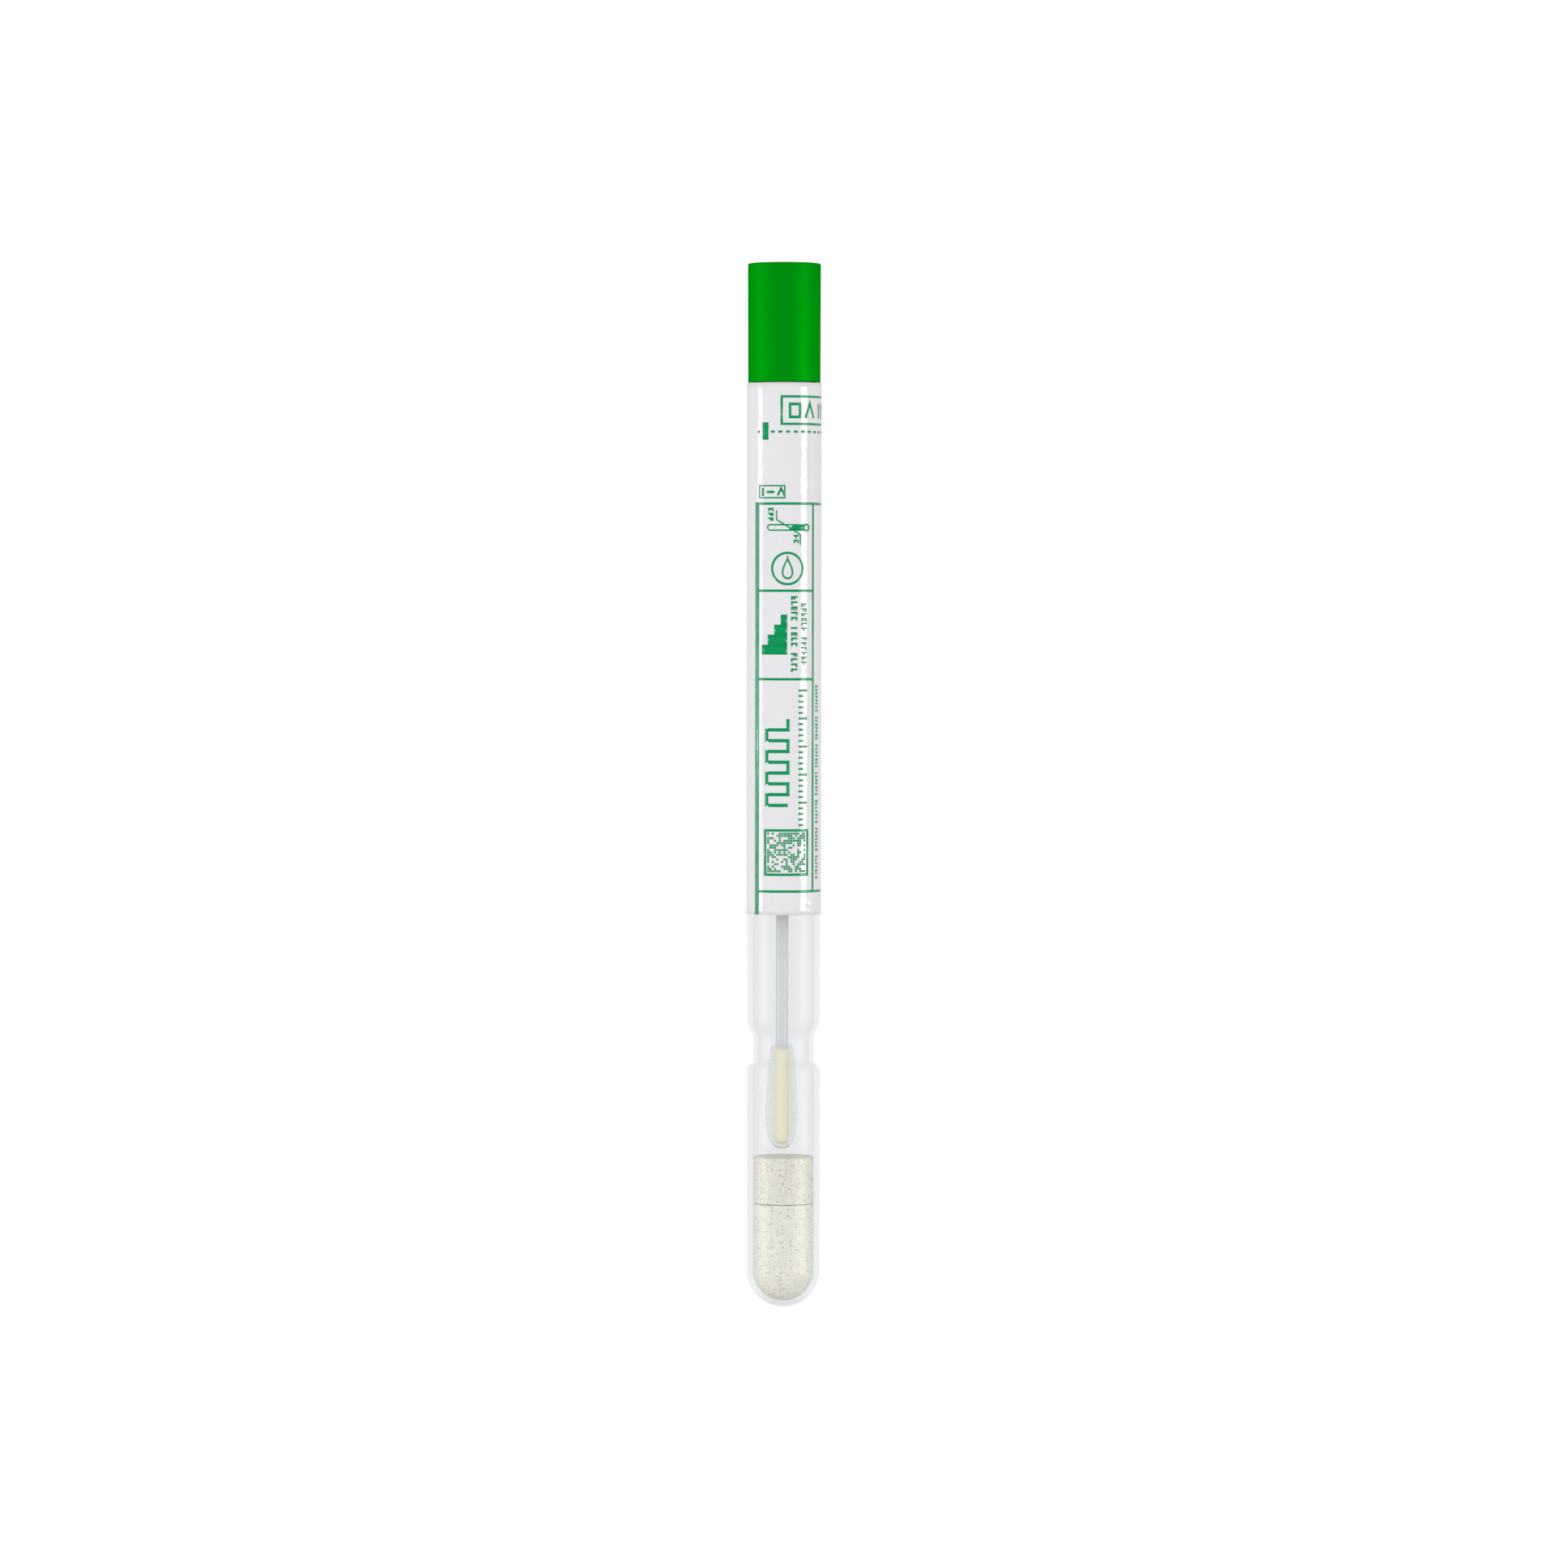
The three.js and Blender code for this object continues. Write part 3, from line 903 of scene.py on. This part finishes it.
CORE_RADIUS = 1.05  # the core's radius is this and a share of the bud's
CORE_SHARE = 0.07
CORE_INSET = 0.75  # how far the core's ends lie inside those of the bud


def layer_place(height, share):
    """The radius and height in a layer, for a height on the bud's outside."""
    full = bud_radius(height)
    core = (CORE_RADIUS + CORE_SHARE * full) * np.minimum(1, 1.6 * full / BUD_RADIUS)
    middle = (BUD_BOTTOM + BUD_TOP) / 2
    squeeze = 1 - (1 - share) * 2 * CORE_INSET / (BUD_TOP - BUD_BOTTOM)
    return core + (full - core) * share, middle + (height - middle) * squeeze


def layer_outline(share, rows=70):
    """The outline of a layer: share 0 is the core and share 1 the outside, blended in radius and height."""
    turn = np.linspace(0, np.pi, rows)
    radius, height = layer_place(BUD_BOTTOM + (BUD_TOP - BUD_BOTTOM) * (1 - np.cos(turn)) / 2, share)
    radius[0] = radius[-1] = 0
    return np.column_stack([radius, height])


# %% [markdown]
# ## Fibre and sheer layers
# One function makes the material of the fibres. Fine noise, drawn out round the bud, is the winding, and
# broad noise along it is the draw of the yarn: both shift the colour. A sheer layer is a shader with almost
# full transmission over a volume that absorbs: the longer the way through it, the darker. The wall's volume
# absorbs to black and the wall bends light a little, and together these make its rim dark: painted shade for
# the bud's grey outline. Fibres pass light on rather than stop it, so they and the wall cast no shadow.

# %% Bud materials
def make_bud_fibre(name, light, dark):
    """light and dark are the ends of the colour's range."""
    made, tree, surface = new_material(name)
    place = node(tree, "TexCoord").outputs["Object"]
    fibre = noise(tree, drawn(tree, place, 3.0), 1500.0, 4.0)
    streak = noise(tree, drawn(tree, place, 0.12), 1100.0, 2.0)
    tone = blend(tree, ramp(tree, reckon(tree, "ADD", fibre, streak), 0.8, 1.2), dark, light)
    wool = node(tree, "BsdfPrincipled", {
        "Base Color": tone, "Roughness": 0.9, "Normal": bumps(tree, fibre, 0.3, 0.05),
        "Specular IOR Level": 0.1,
    })
    tree.links.new(wool.outputs[0], surface)
    return made


def make_sheer_fibre(name, lets_through, density, bend):
    """lets_through and density are those of the volume, and bend is the index of refraction."""
    made, tree, surface = new_material(name)
    place = node(tree, "TexCoord").outputs["Object"]
    tone = blend(tree, noise(tree, drawn(tree, place, 5.0), 900.0, 5.0), (0.99, 0.99, 0.99, 1), (1, 1, 1, 1))
    sheer = node(tree, "BsdfPrincipled", {
        "Base Color": tone, "Roughness": 0.0, "IOR": bend, "Transmission Weight": 0.99,
    })
    let_light_in(tree, surface, sheer, (1, 1, 1, 1), lets_through, density)
    return made


# %% Core and wall
BUD_WALL = 0.14
CREAM_LAYER = 0.6  # how far out the cream layer lies, from 0 at the core to 1 outside
CREAM = make_bud_fibre("packed_fibre", (0.98, 0.945, 0.79, 1), (0.95, 0.905, 0.735, 1))
LOOSE = make_bud_fibre("loose_fibre", (0.98, 0.97, 0.87, 1), (0.96, 0.94, 0.83, 1))
WHITE = make_bud_fibre("white_fibre", (0.98, 0.98, 0.98, 1), (0.94, 0.95, 0.96, 1))


def hollow(outline, wall):
    """A turned shell: the outline, and the same drawn in by the wall, with its faces turned round."""
    middle = outline[:, 1].mean()
    radius, height = outline.T
    inner = np.column_stack([np.maximum(radius - wall, 0), height - wall * np.sign(height - middle)])
    points, faces = turned(outline)
    inner_points, inner_faces = turned(inner[(inner[:, 0] > 0) | (radius == 0)])
    turned_round = [(part + len(points))[:, ::-1] for part in inner_faces]
    return np.vstack([points, inner_points]), faces + turned_round


def add_to_bud(name, points, faces, material, shadow=False):
    """Adds a piece of the bud, which leans and rides with the swab."""
    piece = add_mesh(name, leaning(points), faces, material)
    piece.visible_shadow = shadow
    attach(piece, "swab_body")
    return piece


add_to_bud("bud_core", *turned(layer_outline(0), sides=128), CREAM, shadow=True)
cream_layer = make_sheer_fibre("cream_layer", (0.92, 0.90, 0, 1), 48.0, bend=1.0)
add_to_bud("bud_cream_layer", *turned(layer_outline(CREAM_LAYER), sides=128), cream_layer, shadow=True)
# painted shade: a wall that absorbs to black draws the grey outline at the bud's rim
rim_shade_wall = make_sheer_fibre("rim_shade_wall", (0, 0, 0, 1), 130.0, bend=1.2)
bud = add_to_bud("wound_bud", *hollow(layer_outline(1), BUD_WALL), rim_shade_wall)
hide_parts("fibre_bud")

# %% [markdown]
# ## Single fibres
# Each fibre is a thin three-sided tube along a line that goes round the bud while its height climbs slowly.
# All of them are one array, with an axis for the fibre, one for the step along it and one for the side of the
# tube. Random numbers with a fixed seed choose how deep each lies: near the core for the loose ones, and just
# under the outside for the last.

# %% Wind the fibres
FIBRE_STEPS = 30


def wind_fibres(count, thick, layers, seed):
    """Points of the fibres, and the faces between them. Height h = h0 + climb t, angle a = a0 + turns t.
    layers takes a random column from 0 to 1 and gives each fibre its layer, 0 at the core and 1 outside."""
    spread = np.random.default_rng(seed)
    share = np.linspace(0, 1, FIBRE_STEPS)[None, :]
    start = spread.uniform(0.01, 0.99, (count, 1))
    height = BUD_BOTTOM + (BUD_TOP - BUD_BOTTOM) * start + spread.normal(0, 1.6, (count, 1)) * (share - 0.5)
    height = np.clip(height, BUD_BOTTOM + 0.1, BUD_TOP - 0.05)
    angle = spread.uniform(0, 2 * np.pi, (count, 1))
    angle = angle + 2 * np.pi * spread.uniform(0.5, 1.1, (count, 1)) * share
    reach, height = layer_place(height, layers(spread.random((count, 1))))
    side = np.arange(3)[:, None, None] * 2 * np.pi / 3
    reach, height = reach - thick + thick * np.cos(side), height + thick * np.sin(side)
    points = np.stack([reach * np.sin(angle), height, reach * np.cos(angle)], axis=-1)
    points = points.transpose(1, 2, 0, 3).reshape(-1, 3)
    size = 3 * FIBRE_STEPS
    faces = [grid_faces(FIBRE_STEPS, 3, first=number * size, closed=True) for number in range(count)]
    ends = size * np.arange(count)[:, None]
    return points, [*faces, ends + [2, 1, 0], ends + 3 * (FIBRE_STEPS - 1) + [0, 1, 2]]


add_to_bud("bud_loose_fibres", *wind_fibres(36, 0.011, lambda chance: 0.5 * chance**1.4, seed=12), LOOSE)
add_to_bud("bud_outer_fibres", *wind_fibres(14, 0.009, lambda chance: 1 - 0.2 * chance, seed=13), WHITE)

# %% [markdown]
# ## Foam plugs
# Two plugs of open foam sit in the round end, the lower one shaped to it. They are damp, cream-coloured and
# full of pores, with darker brown specks. The outline is turned as before, and then every point moves a
# little in or out by smooth random lumps, so the edge isn't drawn with a ruler.

# %% Foam
FOAM_EDGE_BEND = 0.35
FOAM_JOINT_BEND = 0.06
SPECK_CELLS = 2100.0  # cells to a metre, each of which may hold a speck
SPECK_CORE, SPECK_EDGE = 0.18, 0.42  # shares of a cell between which a speck fades out
SPECK_CHANCE = (0.5, 0.82)  # a cell's random value has no speck at the first and a full one at the second


def foamy(outline, seed, sides=150, step=0.25):
    """A turned plug whose points move in or out from its middle by a few hundredths of a millimetre."""
    points, faces = turned(finer(outline, step), sides)
    middle = points.mean(axis=0)
    away = unit(points - middle)
    swell = 0.03 * lumps(points, 0.9, seed) + 0.02 * lumps(points, 0.35, seed + 1) - 0.03
    return points + away * swell[:, None], faces


def make_foam(name, light, dark, speck):
    """light and dark are the ends of the colour's range, and speck is the colour of the few stained pores."""
    made, tree, surface = new_material(name)
    place = node(tree, "TexCoord").outputs["Object"]
    cloud = noise(tree, place, 600.0, 8.0, Roughness=0.75)
    tone = blend(tree, ramp(tree, cloud, 0.35, 0.65), dark, light)
    cells = node(tree, "TexVoronoi", {"Vector": place, "Scale": SPECK_CELLS}).outputs
    fade = {0: cells["Distance"], 1: SPECK_CORE, 2: SPECK_EDGE, 3: 1.0, 4: 0.0}
    dot = node(tree, "MapRange", fade).outputs[0]
    chance = node(tree, "SeparateColor", {0: cells["Color"]}).outputs["Red"]
    spots = reckon(tree, "MULTIPLY", dot, ramp(tree, chance, *SPECK_CHANCE))
    pores = node(tree, "TexVoronoi", {"Vector": place, "Scale": 2 * SPECK_CELLS}).outputs["Distance"]
    height = reckon(tree, "ADD", pores, cloud)
    foam = node(tree, "BsdfPrincipled", {
        "Base Color": blend(tree, spots, tone, speck), "Roughness": 0.8,
        "Normal": bumps(tree, height, 0.8, 0.08), "Specular IOR Level": 0.2,
        "Coat Weight": 1.0, "Coat Roughness": 0.55, "Coat IOR": 1.62,
    })
    tree.links.new(foam.outputs[0], surface)
    return made


lower_end = arc(0, FOAM_BOTTOM + FOAM_RADIUS, FOAM_RADIUS, -90, 0, 24)
lower_end[0, 0] = 0
lower_outline = np.vstack([lower_end, rounded([
    (*lower_end[-1], 0), (FOAM_RADIUS, FOAM_SPLIT, FOAM_JOINT_BEND), (0, FOAM_SPLIT, 0),
])[1:]])
upper_outline = rounded([
    (0, FOAM_JOINT, 0), (FOAM_RADIUS, FOAM_JOINT, FOAM_JOINT_BEND), (FOAM_RADIUS, FOAM_TOP, FOAM_EDGE_BEND),
    (0, FOAM_TOP, 0),
])
for name, node_name, outline, seed, light, dark in (
    ("lower_foam", "lower_foam_plug", lower_outline, 21, (0.915, 0.89, 0.775, 1), (0.815, 0.785, 0.67, 1)),
    ("upper_foam", "upper_foam_plug", upper_outline, 31, (0.865, 0.84, 0.725, 1), (0.77, 0.74, 0.625, 1)),
):
    plug = add_mesh(name, *foamy(outline, seed), make_foam(name, light, dark, (0.48, 0.33, 0.22, 1)))
    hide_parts(node_name)
    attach(plug, "tube_body")

# %% [markdown]
# ## Floor and light
# The tube lies on a white table under plain soft light. The world gives an even light from all round, a
# little less from beyond the tube's two ends, and long strip lamps on each side draw the stripes along the
# plastic. The floor looks white to the camera by a light of its own, and still takes a faint shadow. In
# reflections the surroundings are dim, so the plastics keep their own colour and darken in a thin line at
# their edges.

# %% Floor
FLOOR_SIZE = 6.0
REFLECTED = 0.1  # how much of the white shows in a reflection


def seen_share(tree):
    """1 for rays from the camera or through plastic, REFLECTED for reflections, and 0 for other rays."""
    path = node(tree, "LightPath").outputs
    mirror = reckon(tree, "MULTIPLY", path["Is Glossy Ray"], REFLECTED)
    seen = reckon(tree, "MAXIMUM", path["Is Camera Ray"], path["Is Transmission Ray"])
    return reckon(tree, "MAXIMUM", seen, mirror)


def make_floor():
    made, tree, surface = new_material("white_table")
    matt = node(tree, "BsdfDiffuse", {"Color": (0.85, 0.85, 0.85, 1)})
    glow = node(tree, "Emission", {"Color": (1, 1, 1, 1), "Strength": 1.02})
    share = reckon(tree, "MULTIPLY", seen_share(tree), 0.94)  # the rest takes the shadow
    mix = node(tree, "MixShader", {0: share, 1: matt.outputs[0], 2: glow.outputs[0]})
    tree.links.new(mix.outputs[0], surface)
    half = FLOOR_SIZE / 2
    mesh = bpy.data.meshes.new("floor")
    corners = [(-half, -half, 0), (half, -half, 0), (half, half, 0), (-half, half, 0)]
    mesh.from_pydata(corners, [], [(0, 1, 2, 3)])
    mesh.materials.append(made)
    floor = bpy.data.objects.new("floor", mesh)
    bpy.context.scene.collection.objects.link(floor)
    return floor


make_floor()

# %% World
AMBIENT = 1.03
END_DIMMING = 0.55  # the share that is lost towards the tube's two ends

world = bpy.data.worlds.new("studio")
world.use_nodes = True
bpy.context.scene.world = world
sky = world.node_tree
sky.nodes.clear()
direction = node(sky, "TexCoord").outputs["Generated"]
endwise = node(sky, "SeparateXYZ", {0: direction}).outputs["Y"]
squared = reckon(sky, "MULTIPLY", endwise, endwise)
dimmed = reckon(sky, "MULTIPLY_ADD", squared, -AMBIENT * END_DIMMING, AMBIENT)
path = node(sky, "LightPath").outputs
plain = node(sky, "Mix", {0: path["Is Glossy Ray"], 2: dimmed, 3: REFLECTED}, data_type="FLOAT").outputs[0]
clear = reckon(sky, "MAXIMUM", path["Is Camera Ray"], path["Is Transmission Ray"])
strength = node(sky, "Mix", {0: clear, 2: plain, 3: 1.0}, data_type="FLOAT").outputs[0]
glow = node(sky, "Background", {"Color": (1, 1, 1, 1), "Strength": strength})
sky.links.new(glow.outputs[0], node(sky, "OutputWorld").inputs["Surface"])

# %% Lamps
KEY_HEIGHT = 1.0
KEY_SIZE = (0.5, 0.7)
KEY_SHIFT = -0.35
KEY_RADIANCE = 1.25
STRIP_DISTANCE = 0.35
STRIP_LENGTH = 0.34


def add_lamp(name, place, turn, size, radiance):
    """A rectangular lamp, turned about the tube's direction. Its power is radiance times pi times area."""
    data = bpy.data.lights.new(name, "AREA")
    data.shape = "RECTANGLE"
    data.size, data.size_y = size
    data.energy = radiance * math.pi * size[0] * size[1]
    lamp = bpy.data.objects.new(name, data)
    lamp.location = place
    lamp.rotation_euler = (0, turn, 0)
    lamp.visible_camera = False
    bpy.context.scene.collection.objects.link(lamp)
    return lamp


def strip_lamp(name, tilt, spread, radiance, low=-STRIP_LENGTH / 2, high=STRIP_LENGTH / 2):
    """A long lamp beside the tube for its reflection alone: tilt degrees from straight up towards +X, spread
    degrees wide as seen from the axis, and from low to high along the tube. It isn't seen through plastic."""
    turn = math.radians(tilt)
    width = 2 * STRIP_DISTANCE * math.tan(math.radians(spread / 2))
    place = (STRIP_DISTANCE * math.sin(turn), (low + high) / 2, AXIS.z + STRIP_DISTANCE * math.cos(turn))
    lamp = add_lamp(name, place, turn, (width, high - low), radiance)
    lamp.visible_diffuse = False
    lamp.visible_transmission = False


strip_lamp("right_strip", 64, 20, 8.0)
strip_lamp("left_strip", -77, 18, 3.5)
strip_lamp("left_head_strip", -77, 18, 7.0, low=0.05)
strip_lamp("left_foot_strip", -78, 20, 10.5, high=-0.04)
strip_lamp("right_foot_strip", 85, 34, 6.4, high=-0.04)
key = add_lamp("key", (KEY_SHIFT, 0, KEY_HEIGHT), math.atan2(KEY_SHIFT, KEY_HEIGHT), KEY_SIZE, KEY_RADIANCE)
key.visible_glossy = False
key.visible_transmission = False
